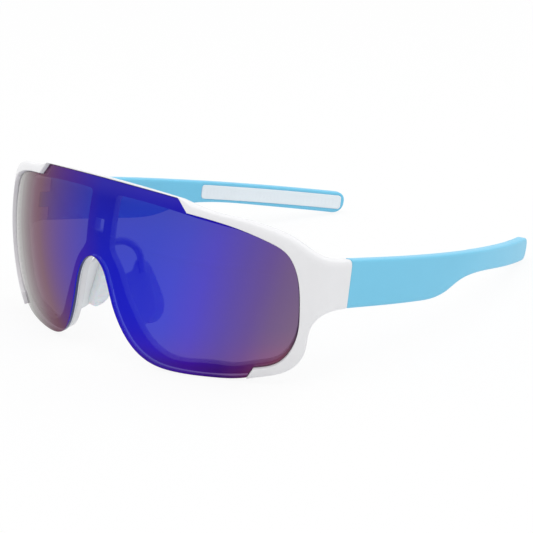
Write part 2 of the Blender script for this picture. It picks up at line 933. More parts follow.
def arc3(a: Array, b: Array, c: Array, count: int = 80) -> Array:
    """Arc through three points.

    Formula: the centre is where the first two chords' bisectors meet, and the angles run evenly from
    the first point past the second to the third.

    Args:
        a: first point.
        b: a point on the way.
        c: last point.
        count: number of samples.

    Returns:
        The samples, (count, 2).
    """
    d = 2 * (a[0] * (b[1] - c[1]) + b[0] * (c[1] - a[1]) + c[0] * (a[1] - b[1]))
    sa, sb, sc = a @ a, b @ b, c @ c
    ux = (sa * (b[1] - c[1]) + sb * (c[1] - a[1]) + sc * (a[1] - b[1])) / d
    uy = (sa * (c[0] - b[0]) + sb * (a[0] - c[0]) + sc * (b[0] - a[0])) / d
    centre = np.array([ux, uy])
    first, middle, last = (np.arctan2(*(p - centre)[::-1]) for p in (a, b, c))
    middle = first + (middle - first + np.pi) % (2 * np.pi) - np.pi
    last = middle + (last - middle + np.pi) % (2 * np.pi) - np.pi
    return arc(centre, np.linalg.norm(a - centre), first, last, count)


def upright_box(half_width: float, low: float, high: float, reach: float) -> Array:
    """Closed rectangle about the middle of the front.

    Args:
        half_width: half its width.
        low: its lower edge.
        high: its upper edge.
        reach: distance from the ball's centre at which it has these sizes.

    Returns:
        Distances round the ball, (n, 2).
    """
    corners = SHAPE.lens_radius * np.arctan(np.array([
        (-half_width, low), (half_width, low), (half_width, high), (-half_width, high),
    ]) / reach)
    return np.vstack([straight(corners[k], corners[(k + 1) % 4])[:-1] for k in range(4)])


@dataclass(frozen=True)
class Outlines:
    """Edges of the lens, the frame and the eye openings, left half from the middle to the middle.

    Attributes:
        tab_rise: how much higher the frame stands behind the lens's tab.
        rim_inset: how far the frame's lower edge stays within the lens's.
        nose_arch: top of the nose notch in the lens, (x, z).
        window_round: radius of the eye opening's upper corner beside the bridge bar.
    """

    tab_top: tuple[float, float] = (0.0, 17.25)
    tab_rise: float = 0.45
    rim_inset: float = 0.25
    nose_arch: tuple[float, float] = (0.0, -7.6)
    brow_start: tuple[float, float] = (29.5, 16.3)
    window_round: float = 1.6

    @property
    def nose_edge(self) -> list[tuple[float, ...]]:
        """Lower edge of the lens from the tab to the nose.

        Returns:
            Places (x, z) on the lens's front.
        """
        return [
            *from_side([(30.2, -37.5)]), (29.5, -38.3), (21.0, -37.2), (15.6, -33.8),
            (11.6, -28.2), (8.6, -21.0), (6.4, -13.8), (3.7, -9.3),
        ]

    def top(self, rise: float, corner: tuple[float, ...]) -> Array:
        """Shallow arc along the top of the brow's tab, from the middle out.

        Args:
            rise: how much higher than the lens's own top it starts.
            corner: where it ends, (x, z).

        Returns:
            The arc in the outline plane.
        """
        a = (self.tab_top[0], self.tab_top[1] + rise)
        half = ((a[0] + corner[0]) / 2, (3 * a[1] + corner[1]) / 4)
        return arc3(*flats([a, half, corner]))

    def lens(self) -> Array:
        """Closed outline of the lens.

        Returns:
            Distances round the ball, (n, 2).
        """
        tab_corner, upper_notch = from_side([(41.1, 16.1), (37.5, 12.2)])
        lower_notch, lower_corner = from_side([(17.4, -31.8), (19.8, -35.5)])
        side = from_side([
            (23.0, 10.4), (14.0, 7.8), (8.8, 4.7), (5.8, -2.0), (5.0, -10.5), (6.0, -20.4),
            (10.4, -28.4),
        ])
        half = chain(
            self.top(0.0, tab_corner),
            straight(*flats([tab_corner, upper_notch])),
            spline(flats([upper_notch, *side, lower_notch])),
            straight(*flats([lower_notch, lower_corner])),
            spline(flats([lower_corner, *self.nose_edge, self.nose_arch]), (-1, -0.12), (-1, 0)),
        )
        return SHAPE.ball(self.whole(half))

    def brow(self) -> Array:
        """Frame's upper edge from the tab's corner to the hinge.

        Returns:
            The edge in the outline plane.
        """
        points = from_side([
            (33.7, 7.3, 14.8), (27.5, 9.8, 13.9), (21.6, 12.9, 13.5), (15.8, 15.8, 12.7),
            (10.1, 19.8, 11.1), (6.4, 22.4, 9.3), (3.1, 25.5, 6.8), (0.7, 29.6, 4.9),
        ], back=True)
        top = (SHAPE.half_width, SHAPE.joint_y, SHAPE.joint_top)
        return spline(flats([self.brow_start, *points, top]))

    def cheek(self) -> Array:
        """Frame's lower edge from the hinge round the cheek and the nose to the middle.

        Returns:
            The edge in the outline plane.
        """
        points = from_side([
            (0.2, 32.6, -11.7), (1.3, 29.1, -13.8), (2.5, 27.8, -17.2), (3.2, 28.0, -21.4),
            (4.3, 28.1, -26.0), (6.6, 27.4, -29.5), (9.8, 25.9, -32.0), (13.8, 23.5, -33.8),
        ], back=True)
        bottom = (SHAPE.half_width, SHAPE.joint_y, SHAPE.joint_bottom)
        inset = self.rim_inset
        tab = from_side([(19.8, -35.5 + inset)])
        nose = [(x + inset, z + inset) for x, z in self.nose_edge]
        arch = (0.0, self.nose_arch[1] + inset)
        return spline(flats([bottom, *points, *tab, *nose, arch]), (-1, 0.05), (-1, 0))

    def frame(self, overcut: float = 4.0) -> Array:
        """Closed outline of the frame, its lugs drawn past the joint.

        Args:
            overcut: how far past the joint the lugs are drawn.

        Returns:
            Distances round the ball, (n, 2).
        """
        behind = SHAPE.joint_y + overcut
        heights = (SHAPE.joint_top, SHAPE.joint_bottom)
        top_end, bottom_end = flats([(SHAPE.half_width, behind, z) for z in heights])
        brow, cheek = self.brow(), self.cheek()
        half = chain(
            self.top(self.tab_rise, self.brow_start),
            brow,
            straight(brow[-1], top_end),
            straight(top_end, bottom_end),
            straight(bottom_end, cheek[0]),
            cheek,
        )
        return SHAPE.ball(self.whole(half))

    def eye(self) -> Array:
        """Closed outline of the left eye opening.

        Returns:
            Distances round the ball, (n, 2).
        """
        bar_top, foot = (5.5, 13.0), (5.5, -3.4)
        corner = (33.2, 11.4)
        side = from_side([
            (23.2, 9.6), (14.3, 7.0), (9.4, 4.2), (6.5, -2.2), (5.7, -10.5), (6.7, -20.2),
            (10.9, -27.9), (17.8, -31.2), (23.5, -33.2), (31.0, -34.1),
        ])
        nose = [(27.0, -34.9), (20.4, -30.6), (15.5, -22.6), (12.3, -16.0), (8.6, -8.4)]
        loop = chain(
            straight(*flats([foot, bar_top])),
            spline(flats([bar_top, (20.0, 12.7), corner])),
            spline(flats([corner, *side, *nose, foot]), (1, -0.09), (-0.1, 1)),
        )[:-1]
        return SHAPE.ball(rounded(loop, flats([bar_top])[0], self.window_round))

    @staticmethod
    def whole(half: Array) -> Array:
        """Half outline joined to its mirror image, without repeated points."""
        return np.vstack([half, mirrored(half)[1:-1]])


OUTLINES = Outlines()


# ---- materials
def linear(red: float, green: float, blue: float) -> Colour:
    """Linear colour of an sRGB one.

    Args:
        red: 0 to 255.
        green: 0 to 255.
        blue: 0 to 255.

    Returns:
        Red, green, blue and a full alpha.
    """
    c = np.array([red, green, blue]) / 255
    r, g, b = np.where(c <= 0.04045, c / 12.92, ((c + 0.055) / 1.055) ** 2.4)
    return (float(r), float(g), float(b), 1.0)


def socket(group: Tree, name: str, kind: str, output: bool = False, value: float | None = None) -> None:
    """Adds a named input or output to a node group.

    Args:
        group: the group that gets it.
        name: its name.
        kind: Color or Float.
        output: whether it is an output.
        value: what an input holds at first.
    """
    made = group.interface.new_socket(
        name=name, in_out="OUTPUT" if output else "INPUT", socket_type=f"NodeSocket{kind}"
    )
    if value is not None:
        made.default_value = value


def feed(tree: Tree, entry: Output, term: Term) -> None:
    """Gives an input what it needs.

    Args:
        tree: the tree that both belong to.
        entry: the input.
        term: another node's output, which is linked, or a plain number or colour.
    """
    if isinstance(term, Output):
        tree.links.new(term, entry)
    else:
        entry.default_value = term


def fill(tree: Tree, node: bpy.types.Node, given: dict[str, Term]) -> None:
    """Gives a node's inputs, by name, what they need."""
    for label, term in given.items():
        feed(tree, node.inputs[label], term)


def worked_out(tree: Tree, operation: str, *terms: Term) -> Output:
    """Result of a math node.

    Args:
        tree: the tree that gets the node.
        operation: what the node does, in Blender's own word.
        *terms: its inputs in order, outputs of other nodes or numbers.

    Returns:
        The node's output.
    """
    node = tree.nodes.new("ShaderNodeMath")
    node.operation = operation
    for entry, term in zip(node.inputs, terms):
        feed(tree, entry, term)
    return node.outputs[0]


def share_between(tree: Tree, value: Output, low: float, high: float) -> Output:
    """How far a value lies between two others, held within 0 and 1.

    Args:
        tree: the tree that gets the node.
        value: the value.
        low: where the share is 0.
        high: where the share is 1.

    Returns:
        The share's socket.
    """
    node = tree.nodes.new("ShaderNodeMapRange")
    fill(tree, node, {"From Min": low, "From Max": high, "Value": value})
    return node.outputs["Result"]


def mixed(tree: Tree, share: Term, first: Term, second: Term, blend: str = "MIX") -> Output:
    """Two colours in one.

    Args:
        tree: the tree that gets the node.
        share: how much the second counts.
        first: the colour where the share is 0.
        second: the other colour.
        blend: how they meet, in Blender's own word.

    Returns:
        The colour's socket.
    """
    node = tree.nodes.new("ShaderNodeMix")
    node.data_type = "RGBA"
    node.blend_type = blend
    feed(tree, node.inputs["Factor"], share)
    feed(tree, node.inputs[6], first)
    feed(tree, node.inputs[7], second)
    return node.outputs[2]


def object_place(tree: Tree) -> Output:
    """The surface point in the piece's own frame."""
    return tree.nodes.new("ShaderNodeTexCoord").outputs["Object"]


def noise(tree: Tree, scale: Term, detail: float) -> Output:
    """Cloudy noise over the piece.

    Args:
        tree: the tree that gets the nodes.
        scale: grains per metre.
        detail: how many finer layers it has.

    Returns:
        The noise's socket, 0 to 1.
    """
    node = tree.nodes.new("ShaderNodeTexNoise")
    fill(tree, node, {"Detail": detail, "Vector": object_place(tree), "Scale": scale})
    return node.outputs["Fac"]


def grain_group() -> Tree:
    """Shared group: the fine unevenness of a moulded surface.

    Inputs: Color, Roughness, Scale (grains per metre), Mottle (share of colour that drifts) and
    Spread (how far the roughness drifts). Outputs: Base Color, Roughness and Bump Height.

    Returns:
        The group, made once.
    """
    name = "moulded_grain"
    if name in bpy.data.node_groups:
        return bpy.data.node_groups[name]
    group = bpy.data.node_groups.new(name, "ShaderNodeTree")
    socket(group, "Color", "Color")
    for label, value in (("Roughness", 0.3), ("Scale", 900.0), ("Mottle", 0.05), ("Spread", 0.05)):
        socket(group, label, "Float", value=value)
    socket(group, "Base Color", "Color", output=True)
    socket(group, "Roughness", "Float", output=True)
    socket(group, "Bump Height", "Float", output=True)
    given = group.nodes.new("NodeGroupInput").outputs
    results = group.nodes.new("NodeGroupOutput").inputs
    drift = share_between(group, noise(group, 45.0, 3.0), 0.3, 0.7)
    kept = worked_out(group, "SUBTRACT", 1.0, worked_out(group, "MULTIPLY", drift, given["Mottle"]))
    shade = group.nodes.new("ShaderNodeVectorMath")
    shade.operation = "SCALE"
    group.links.new(given["Color"], shade.inputs[0])
    group.links.new(kept, shade.inputs["Scale"])
    swing = worked_out(group, "MULTIPLY_ADD", drift, given["Spread"], given["Roughness"])
    group.links.new(shade.outputs[0], results["Base Color"])
    group.links.new(swing, results["Roughness"])
    group.links.new(noise(group, given["Scale"], 4.0), results["Bump Height"])
    return group


def grained(tree: Tree, shader: Shader, **given: Term) -> Output:
    """Grain in a shader's colour and roughness.

    Args:
        tree: the material's nodes.
        shader: its shader.
        **given: the group's inputs by name.

    Returns:
        The height of the grain.
    """
    grain = tree.nodes.new("ShaderNodeGroup")
    grain.node_tree = grain_group()
    fill(tree, grain, given)
    for label in ("Base Color", "Roughness"):
        tree.links.new(grain.outputs[label], shader.inputs[label])
    return grain.outputs["Bump Height"]


def blank_material(name: str) -> tuple[Tree, Shader]:
    """New material with one principled shader.

    Args:
        name: the material's name.

    Returns:
        Its node tree and its shader.
    """
    material = bpy.data.materials.new(name)
    material.use_nodes = True
    return material.node_tree, material.node_tree.nodes["Principled BSDF"]


def ramp_over(tree: Tree, value: Output, length: float, stops: Stops) -> Output:
    """Colour read from a ramp laid along a length.

    Args:
        tree: the tree that gets the nodes.
        value: the place along the length, in metres.
        length: where the ramp ends, in metres.
        stops: (place in metres, linear colour) pairs.

    Returns:
        The colour's socket.
    """
    ramp = tree.nodes.new("ShaderNodeValToRGB")
    marks = ramp.color_ramp.elements
    while len(marks) < len(stops):
        marks.new(0.5)
    for mark, (distance, colour) in zip(marks, stops):
        mark.position = distance / length
        mark.color = colour
    tree.links.new(share_between(tree, value, 0.0, length), ramp.inputs["Fac"])
    return ramp.outputs["Color"]


@dataclass(frozen=True)
class Finish:
    """What a surface is made of.

    Attributes:
        name: the material's name.
    """

    name: str

    def paint(self, tree: Tree, shader: Shader) -> None:
        """Sets up a new material's shader; each kind of finish has its own way."""
        raise NotImplementedError(self.name)

    def material(self) -> bpy.types.Material:
        """The finish as a material, made once.

        Returns:
            The material.
        """
        if self.name not in bpy.data.materials:
            self.paint(*blank_material(self.name))
        return bpy.data.materials[self.name]


@dataclass(frozen=True)
class Moulded(Finish):
    """Finish of a moulded plastic, a rubber or a small metal part.

    Attributes:
        spread: how far the roughness drifts above its lowest.
        mottle: how far the colour drifts.
        depth: bump distance of the grain, in metres.
        scatter: how much light spreads inside, 0 to 1.
    """

    colour: Colour
    roughness: float
    spread: float = 0.05
    mottle: float = 0.03
    grain: float = 2600.0
    depth: float = 2e-6
    coat: float = 0.0
    metallic: float = 0.0
    scatter: float = 0.0

    def paint(self, tree: Tree, shader: Shader) -> None:
        """Grain in the colour, the roughness and the bump.

        Args:
            tree: the material's nodes.
            shader: its shader.
        """
        look = {"Color": self.colour, "Roughness": self.roughness, "Spread": self.spread}
        height = grained(tree, shader, **look, Mottle=self.mottle, Scale=self.grain)
        bump = tree.nodes.new("ShaderNodeBump")
        fill(tree, bump, {"Strength": 0.6, "Distance": self.depth, "Height": height})
        fill(tree, shader, {
            "Metallic": self.metallic,
            "Coat Weight": self.coat,
            "Coat Roughness": 0.08,
            "Subsurface Weight": self.scatter,
            "Subsurface Scale": 0.001,
            "Normal": bump.outputs["Normal"],
        })


@dataclass(frozen=True)
class ShieldTint:
    """Colour that changes over the shield and where it is seen along the surface.

    Formula: a ramp over |x| - z / 4 + 7 mm, so that the bands lean as the shield does, times a ramp
    over z, mixed to the grazing and then to the edge colour as the surface turns away.

    Attributes:
        across: (distance in metres, linear colour) pairs from the middle to the side.
        upwards: (height in metres, share of each channel) pairs from the lowest point up.
        grazing: linear colour where the surface turns away, between the values of grazing_turn.
        edge: linear colour where it is seen along itself, between the values of edge_turn.
        lean: how far the bands move inwards for each unit of height.
        inset: what is added to the distance, in metres.
    """

    across: Stops
    upwards: Stops
    grazing: Colour
    edge: Colour
    lean: float = 0.25
    inset: float = 0.007
    height: float = 0.058
    grazing_turn: tuple[float, float] = (0.31, 0.62)
    edge_turn: tuple[float, float] = (0.66, 0.84)

    def colour(self, tree: Tree) -> Output:
        """The nodes that work the colour out.

        Args:
            tree: the tree that gets them.

        Returns:
            The colour's socket.
        """
        split = tree.nodes.new("ShaderNodeSeparateXYZ")
        tree.links.new(object_place(tree), split.inputs[0])
        x, z = split.outputs["X"], split.outputs["Z"]
        leaning = worked_out(tree, "MULTIPLY_ADD", z, -self.lean, worked_out(tree, "ABSOLUTE", x))
        along = worked_out(tree, "ADD", leaning, self.inset)
        sideways = ramp_over(tree, along, SHAPE.half_width * MM, self.across)
        colour = mixed(tree, 1.0, sideways, ramp_over(tree, z, self.height, self.upwards), "MULTIPLY")
        facing = tree.nodes.new("ShaderNodeLayerWeight")
        facing.inputs["Blend"].default_value = 0.5
        for turn, aim in ((self.grazing_turn, self.grazing), (self.edge_turn, self.edge)):
            colour = mixed(tree, share_between(tree, facing.outputs["Facing"], *turn), colour, aim)
        return colour


@dataclass(frozen=True)
class ShieldLayer(Finish):
    """Finish of one layer of the shield, the mirror coat or the clear body.

    Attributes:
        tint: its colour. For the body it is squared, as one of the lens's sides carries it all.
        values: name and number of each plain value of its shader.
    """

    tint: ShieldTint
    values: dict[str, float]

    def paint(self, tree: Tree, shader: Shader) -> None:
        """The tint as base colour, and the plain values."""
        fill(tree, shader, {"Base Color": self.tint.colour(tree), **self.values})


@dataclass(frozen=True)
class LensRim(Finish):
    """Cut edge of the shield: a dark line under the coat, then the milky body of the plastic.

    It reads the mesh's own "depth", the distance in from the lens's front.

    Attributes:
        coat_depth: how far in from the front the coat's dark line reaches, in metres.
        blur: half the width of the change to the body's colour, in metres.
    """

    coat: Colour
    body: Colour
    coat_depth: float
    blur: float = 0.0001

    def paint(self, tree: Tree, shader: Shader) -> None:
        """Two colours by depth, with the moulded grain over both.

        Args:
            tree: the material's nodes.
            shader: its shader.
        """
        depth = tree.nodes.new("ShaderNodeAttribute")
        depth.attribute_name = "depth"
        low, high = self.coat_depth - self.blur, self.coat_depth + self.blur
        change = share_between(tree, depth.outputs["Fac"], low, high)
        colour = mixed(tree, change, self.coat, self.body)
        grained(tree, shader, Color=colour, Roughness=0.2, Spread=0.05, Mottle=0.04)


WHITE = Moulded("white_gloss_plastic", linear(233, 233, 235), 0.32, 0.06, 0.02, coat=0.25)
BLUE = Moulded("light_blue_plastic", linear(115, 200, 233), 0.38, 0.06, 0.03)
GRIP = Moulded("pale_grip_rubber", linear(233, 241, 246), 0.62, 0.1, 0.03, 1500.0, 1.2e-5)
PAD = Moulded("milky_pad_rubber", linear(240, 245, 248), 0.5, 0.1, 0.03, 1500.0, 1e-5, scatter=0.3)
NYLON = Moulded("white_nosepiece_nylon", linear(245, 246, 247), 0.4, 0.08, 0.03)
STEEL = Moulded("brushed_hinge_steel", linear(196, 198, 202), 0.3, 0.12, 0.08, 9000.0, 4e-6, metallic=1.0)
BRASS = Moulded("turned_hinge_brass", linear(212, 176, 104), 0.3, 0.12, 0.08, 9000.0, 4e-6, metallic=1.0)
# A blue mirror coat that turns violet and bronze to both sides, and loses its blue where it is seen
# along the surface. It lets a little light through to the body.
COATING = ShieldLayer(
    "blue_mirror_lens",
    ShieldTint(
        across=(
            (0.000, (0.036, 0.030, 0.55, 1)),
            (0.010, (0.037, 0.030, 0.59, 1)),
            (0.020, (0.038, 0.030, 0.61, 1)),
            (0.030, (0.044, 0.028, 0.61, 1)),
            (0.040, (0.050, 0.012, 0.53, 1)),
            (0.050, (0.040, 0.010, 0.30, 1)),
            (0.056, (0.080, 0.022, 0.20, 1)),
            (0.061, (0.150, 0.066, 0.13, 1)),
            (0.067, (0.240, 0.120, 0.10, 1)),
        ),
        upwards=(
            (0.003, (1.0, 0.5, 0.56, 1)),
            (0.005, (0.95, 0.5, 0.72, 1)),
            (0.008, (0.8, 0.5, 0.88, 1)),
            (0.013, (0.5, 0.5, 0.96, 1)),
            (0.018, (0.36, 0.48, 1.0, 1)),
            (0.030, (0.3, 0.42, 0.97, 1)),
            (0.037, (0.34, 0.46, 0.92, 1)),
            (0.044, (0.36, 0.48, 0.86, 1)),
            (0.051, (0.40, 0.42, 0.75, 1)),
            (0.055, (1.0, 0.95, 0.78, 1)),
        ),
        grazing=(0.118, 0.008, 0.050, 1),
        edge=(0.20, 0.19, 0.17, 1),
    ),
    {"Metallic": 1.0, "Roughness": 0.07, "Alpha": 0.85},
)
LENS_BODY = ShieldLayer(
    "tinted_lens_plastic",
    ShieldTint(
        across=(
            (0.000, (0.09, 0.14, 0.36, 1)),
            (0.020, (0.09, 0.165, 0.36, 1)),
            (0.030, (0.14, 0.19, 0.40, 1)),
            (0.040, (0.28, 0.20, 0.55, 1)),
            (0.050, (0.53, 0.25, 0.80, 1)),
            (0.060, (0.69, 0.28, 0.90, 1)),
        ),
        upwards=((0.0, (1, 1, 1, 1)), (0.058, (1, 1, 1, 1))),
        grazing=(0.16, 0.12, 0.176, 1),
        edge=(0.16, 0.12, 0.176, 1),
    ),
    {"Roughness": 0.0, "IOR": 1.0, "Transmission Weight": 1.0},
)
LENS_EDGE = LensRim("lens_edge_plastic", (0.012, 0.02, 0.13, 1), (0.72, 0.74, 0.79, 1), 0.00125)


# ---- pieces
@dataclass
class Dresser:
    """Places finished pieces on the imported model.

    Attributes:
        stance: how the glasses lie on the table.
    """

    stance: Stance

    def mesh(self, name: str, shape: Shell, side: Side = Side.LEFT) -> Piece:
        """Mesh piece from points of the wearing frame, mirrored for the right side.

        Args:
            name: the piece's name.
            shape: its vertices in millimetres, and its triangles.
            side: the side that it is for.

        Returns:
            The object, in metres on the table.
        """
        vertices, faces = shape
        if side is Side.RIGHT:
            vertices = vertices * np.array([-1, 1, 1])
            faces = faces[:, ::-1]
        return new_piece(name, self.stance.metres(vertices), faces)

    def dress(self, piece: Piece, finish: Finish, body: str, nodes: Sequence[str]) -> Piece:
        """Gives a piece its finish, its body and the model's nodes it stands for.

        Args:
            piece: the finished mesh.
            finish: what it is made of.
            body: the moving body it belongs to.
            nodes: the nodes it replaces.

        Returns:
            The same piece.
        """
        piece.data.materials.clear()
        piece.data.materials.append(finish.material())
        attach(piece, body)
        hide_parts(*nodes)
        return piece


@dataclass
class ShieldLens:
    """One-piece spherical shield with an upper tab and two lower tabs.

    Attributes:
        side_slant: how squarely a triangle must face out or in to count as front or back.
    """

    edge_round: float = 0.35
    side_slant: float = 0.3

    def build(self, dresser: Dresser) -> Piece:
        """Makes the shield.

        Formula: the lens outline filled at radius 102 in front and 100 behind, with quarter-round
        edges.

        Args:
            dresser: places and dresses the pieces.

        Returns:
            The shield.
        """
        loop = OUTLINES.lens()
        edges = [(closed(loop), self.edge_round)]
        moulding = Moulding(
            outline=loop,
            front=Face(level(SHAPE.lens_radius), edges),
            back=Face(level(SHAPE.lens_back), edges),
            place=SHAPE.place,
            rings=[(loop, self.edge_round)],
            spacing=1.6,
        )
        piece = dresser.mesh("shield_lens_piece", moulding.build())
        dresser.dress(piece, COATING, "root", ["shield_lens"])
        for finish in (LENS_BODY, LENS_EDGE):
            piece.data.materials.append(finish.material())
        self.part_sides(piece.data, dresser.stance.metres(np.zeros((1, 3)))[0])
        return piece

    def part_sides(self, mesh: bpy.types.Mesh, centre: Array) -> None:
        """Gives front, back and edge their own finishes and the two sides the ball's own normals.

        Every point off the edge keeps the ball's normal, so reflections run clean.

        Args:
            mesh: the shield's mesh, with its three materials.
            centre: the ball's centre on the table, in metres.
        """
        places = np.empty(len(mesh.vertices) * 3, np.float32)
        mesh.vertices.foreach_get("co", places)
        outward = places.reshape(-1, 3) - centre
        radius = np.linalg.norm(outward, axis=1)
        outward /= radius[:, None]
        depth = mesh.attributes.new("depth", "FLOAT", "POINT")
        depth.data.foreach_set("value", (SHAPE.lens_radius * MM - radius).astype(np.float32))
        own = np.array([tuple(n.vector) for n in mesh.vertex_normals])
        front = np.abs(radius / MM - SHAPE.lens_radius) < 1e-3
        back = np.abs(radius / MM - SHAPE.lens_back) < 1e-3
        normals = np.where(front[:, None], outward, np.where(back[:, None], -outward, own))
        corners = np.empty(len(mesh.polygons) * 3, np.int32)
        mesh.loops.foreach_get("vertex_index", corners)
        square = np.array([tuple(p.normal) for p in mesh.polygons])
        slant = (square * outward[corners.reshape(-1, 3)[:, 0]]).sum(1)
        kinds = np.where(slant > self.side_slant, 0, np.where(slant < -self.side_slant, 1, 2))
        mesh.polygons.foreach_set("material_index", kinds.astype(np.int32))
        mesh.normals_split_custom_set_from_vertices(normals.tolist())


@dataclass
class FrontFrame:
    """White front: brow, cheek rims, nose rims, bridge bar and the two hinge lugs.

    Attributes:
        seat_round: radius round the mouth of the lens's seat.
        hole_ring: how far beside the openings the surface needs extra points.
        eye_widening: how much the openings are wider at their outer ends.
        widening_run: distances across, between which that widening comes in.
        head_room: radius and depth of the hole for the screw's head.
    """

    brow_round: float = 2.0
    cheek_round: float = 0.7
    rim_round: float = 0.3
    inner_round: float = 0.5
    eye_round: float = 0.2
    seat_round: float = 0.2
    hole_ring: float = 0.35
    eye_widening: float = 0.45
    widening_run: tuple[float, float] = (46.0, 56.0)
    window_half_width: float = 2.0
    window_heights: tuple[float, float] = (-1.1, 4.4)
    slot_air: float = 0.1
    corner_room: float = 3.4
    screw_room: float = 0.63
    head_room: tuple[float, float] = (1.08, 0.8)
    insert_room: float = 1.05

    def openings(self) -> list[Array]:
        """Closed loops of both eye openings and of the bridge bar's slot.

        Returns:
            The three loops, in distances round the ball.
        """
        eye = OUTLINES.eye()
        start, end = self.widening_run
        outwards = np.clip((eye[:, :1] - start) / (end - start), 0, 1)
        eye = shifted(eye, self.eye_widening * outwards)
        window = upright_box(self.window_half_width, *self.window_heights, SHAPE.lens_radius)
        return [eye, mirrored(eye), window]

    def moulding(self) -> Moulding:
        """The front before its lugs are cut off and slotted.

        Returns:
            The moulding.
        """
        outline, lens, holes = OUTLINES.frame(), OUTLINES.lens(), self.openings()
        rim = closed(outline)
        rolled = [(rim, self.rim_round)]
        for edge, radius in ((OUTLINES.brow(), self.brow_round), (OUTLINES.cheek(), self.cheek_round)):
            rolled += [(SHAPE.ball(edge), radius), (mirrored(SHAPE.ball(edge)), radius)]
        hole_edges = [(closed(hole), self.eye_round) for hole in holes]
        lug, corner = SHAPE.lug_thickness, SHAPE.corner_radius
        return Moulding(
            outline=outline,
            front=Face(
                SHAPE.skin(SHAPE.lens_radius + SHAPE.rim_proud, SHAPE.half_width, corner),
                rolled,
                recess=lens,
                floor=level(SHAPE.seat),
                floor_edges=[(rim, self.rim_round), *hole_edges],
                lip=self.seat_round,
            ),
            back=Face(
                SHAPE.skin(SHAPE.rim_back, SHAPE.half_width - lug, corner - lug),
                [(rim, self.inner_round), *hole_edges],
            ),
            place=SHAPE.place,
            holes=holes,
            rings=[
                (outline, self.brow_round),
                (outline, self.inner_round),
                (lens, self.seat_round),
                *[(hole, self.hole_ring) for hole in holes],
            ],
            spacing=1.8,
        )

    def build(self, dresser: Dresser) -> Piece:
        """Makes the front.

        Formula: the frame outline filled between the outer and the inner skin, with the lens's seat
        as a recess, the eye openings and the bridge slot as holes. The brow and cheek edges roll
        over, the lugs are cut square at the joint, and the hinge slots are carved out of them.

        Args:
            dresser: places and dresses the pieces.

        Returns:
            The front.
        """
        piece = dresser.mesh("front_frame_piece", self.moulding().build())
        joint, behind = dresser.stance.metres(np.array([[0, SHAPE.joint_y, 0], [0, SHAPE.joint_y + 1, 0]]))
        cut_flat(piece, joint, (behind - joint) / np.linalg.norm(behind - joint))
        carve(piece, [tool for side in Side for tool in self.hinge_tools(dresser, side)])
        return dresser.dress(piece, WHITE, "root", ["front_frame"])

    def hinge_tools(self, dresser: Dresser, side: Side) -> list[Piece]:
        """Closed bodies whose room the hinge needs in one lug.

        Args:
            dresser: places the bodies.
            side: the lug's side.

        Returns:
            The tongue's slot, the inner corner, and the holes for screw, head and insert.
        """
        x, y = SHAPE.pivot
        gap = SHAPE.knuckle_radius + self.slot_air
        inwards, end = x - 15.0, SHAPE.joint_y + 1
        below, above, past = -30.0, 20.0, 3.0
        low, high = SHAPE.slot_heights
        bottom = SHAPE.joint_bottom
        head_radius, head_depth = self.head_room
        nose = arc(SHAPE.pivot, gap, -np.pi / 2, 0, 15)
        slot = np.vstack([[[inwards, y - gap]], nose, [[x + gap, end], [inwards, end]]])
        bend = arc(SHAPE.pivot, self.corner_room, np.pi / 2, np.pi, 15)
        corner = np.vstack([bend, [[inwards, y], [inwards, end], [x, end]]])
        shapes = [
            prism(slot, low, high),
            prism(corner, below, above),
            prism(circle(SHAPE.pivot, self.screw_room, 32), bottom - past, low + 1),
            prism(circle(SHAPE.pivot, head_radius, 32), bottom - past, bottom + head_depth),
            prism(circle(SHAPE.pivot, self.insert_room, 32), high - 1, high + past),
        ]
        return [dresser.mesh("tool", shape, side) for shape in shapes]


@dataclass
class TemplePath:
    """Plan line of the left temple: a short straight run, then a long bend round the head.

    Attributes:
        toe_in: turn of the straight run towards the head, in degrees.
        bend_radius: radius of the bend, to the inner face.
    """

    toe_in: float = 0.0
    straight_length: float = 12.0
    bend_radius: float = 242.0
    thickness: float = 3.5

    def at(self, s: Array, offset: Array) -> Array:
        """Plan points of the temple.

        Formula: a straight run along (-sin t, cos t), t the toe-in, then an arc whose turn grows by
        1 / bend_radius for each millimetre.

        Args:
            s: distances along the temple from the joint.
            offset: distances outwards from the inner face.

        Returns:
            Places (x, y) in the wearing frame, (n, 2).
        """
        t = np.radians(self.toe_in)
        ahead, out = np.array([-np.sin(t), np.cos(t)]), np.array([np.cos(t), np.sin(t)])
        start = np.array([
            SHAPE.half_width - self.thickness / np.cos(t), SHAPE.joint_y + SHAPE.joint_gap,
        ])
        s, offset = np.broadcast_arrays(np.asarray(s, float), np.asarray(offset, float))
        line = start + ahead * s[:, None] + out * offset[:, None]
        centre = start + ahead * self.straight_length - out * self.bend_radius
        turn = t + (s - self.straight_length) / self.bend_radius
        round_it = np.stack([np.cos(turn), np.sin(turn)], axis=1)
        bent = centre + (self.bend_radius + offset)[:, None] * round_it
        return np.where((s <= self.straight_length)[:, None], line, bent)

    def place(self, along_up: Array, offset: Array) -> Array:
        """Points of the wearing frame for (s, height) places at offsets from the inner face."""
        return np.column_stack([self.at(along_up[:, 0], offset), along_up[:, 1]])

    def from_back(self, side_view: Array) -> Array:
        """Places of the side view as places along the temple.

        Args:
            side_view: (distance behind the joint, height), (n, 2).

        Returns:
            (distance along the temple, height), (n, 2).
        """
        s = np.linspace(-5, 150, 1200)
        back = self.at(s, np.full(len(s), self.thickness / 2))[:, 1] - SHAPE.joint_y - SHAPE.joint_gap
        return np.column_stack([np.interp(side_view[:, 0], back, s), side_view[:, 1]])


PATH = TemplePath()


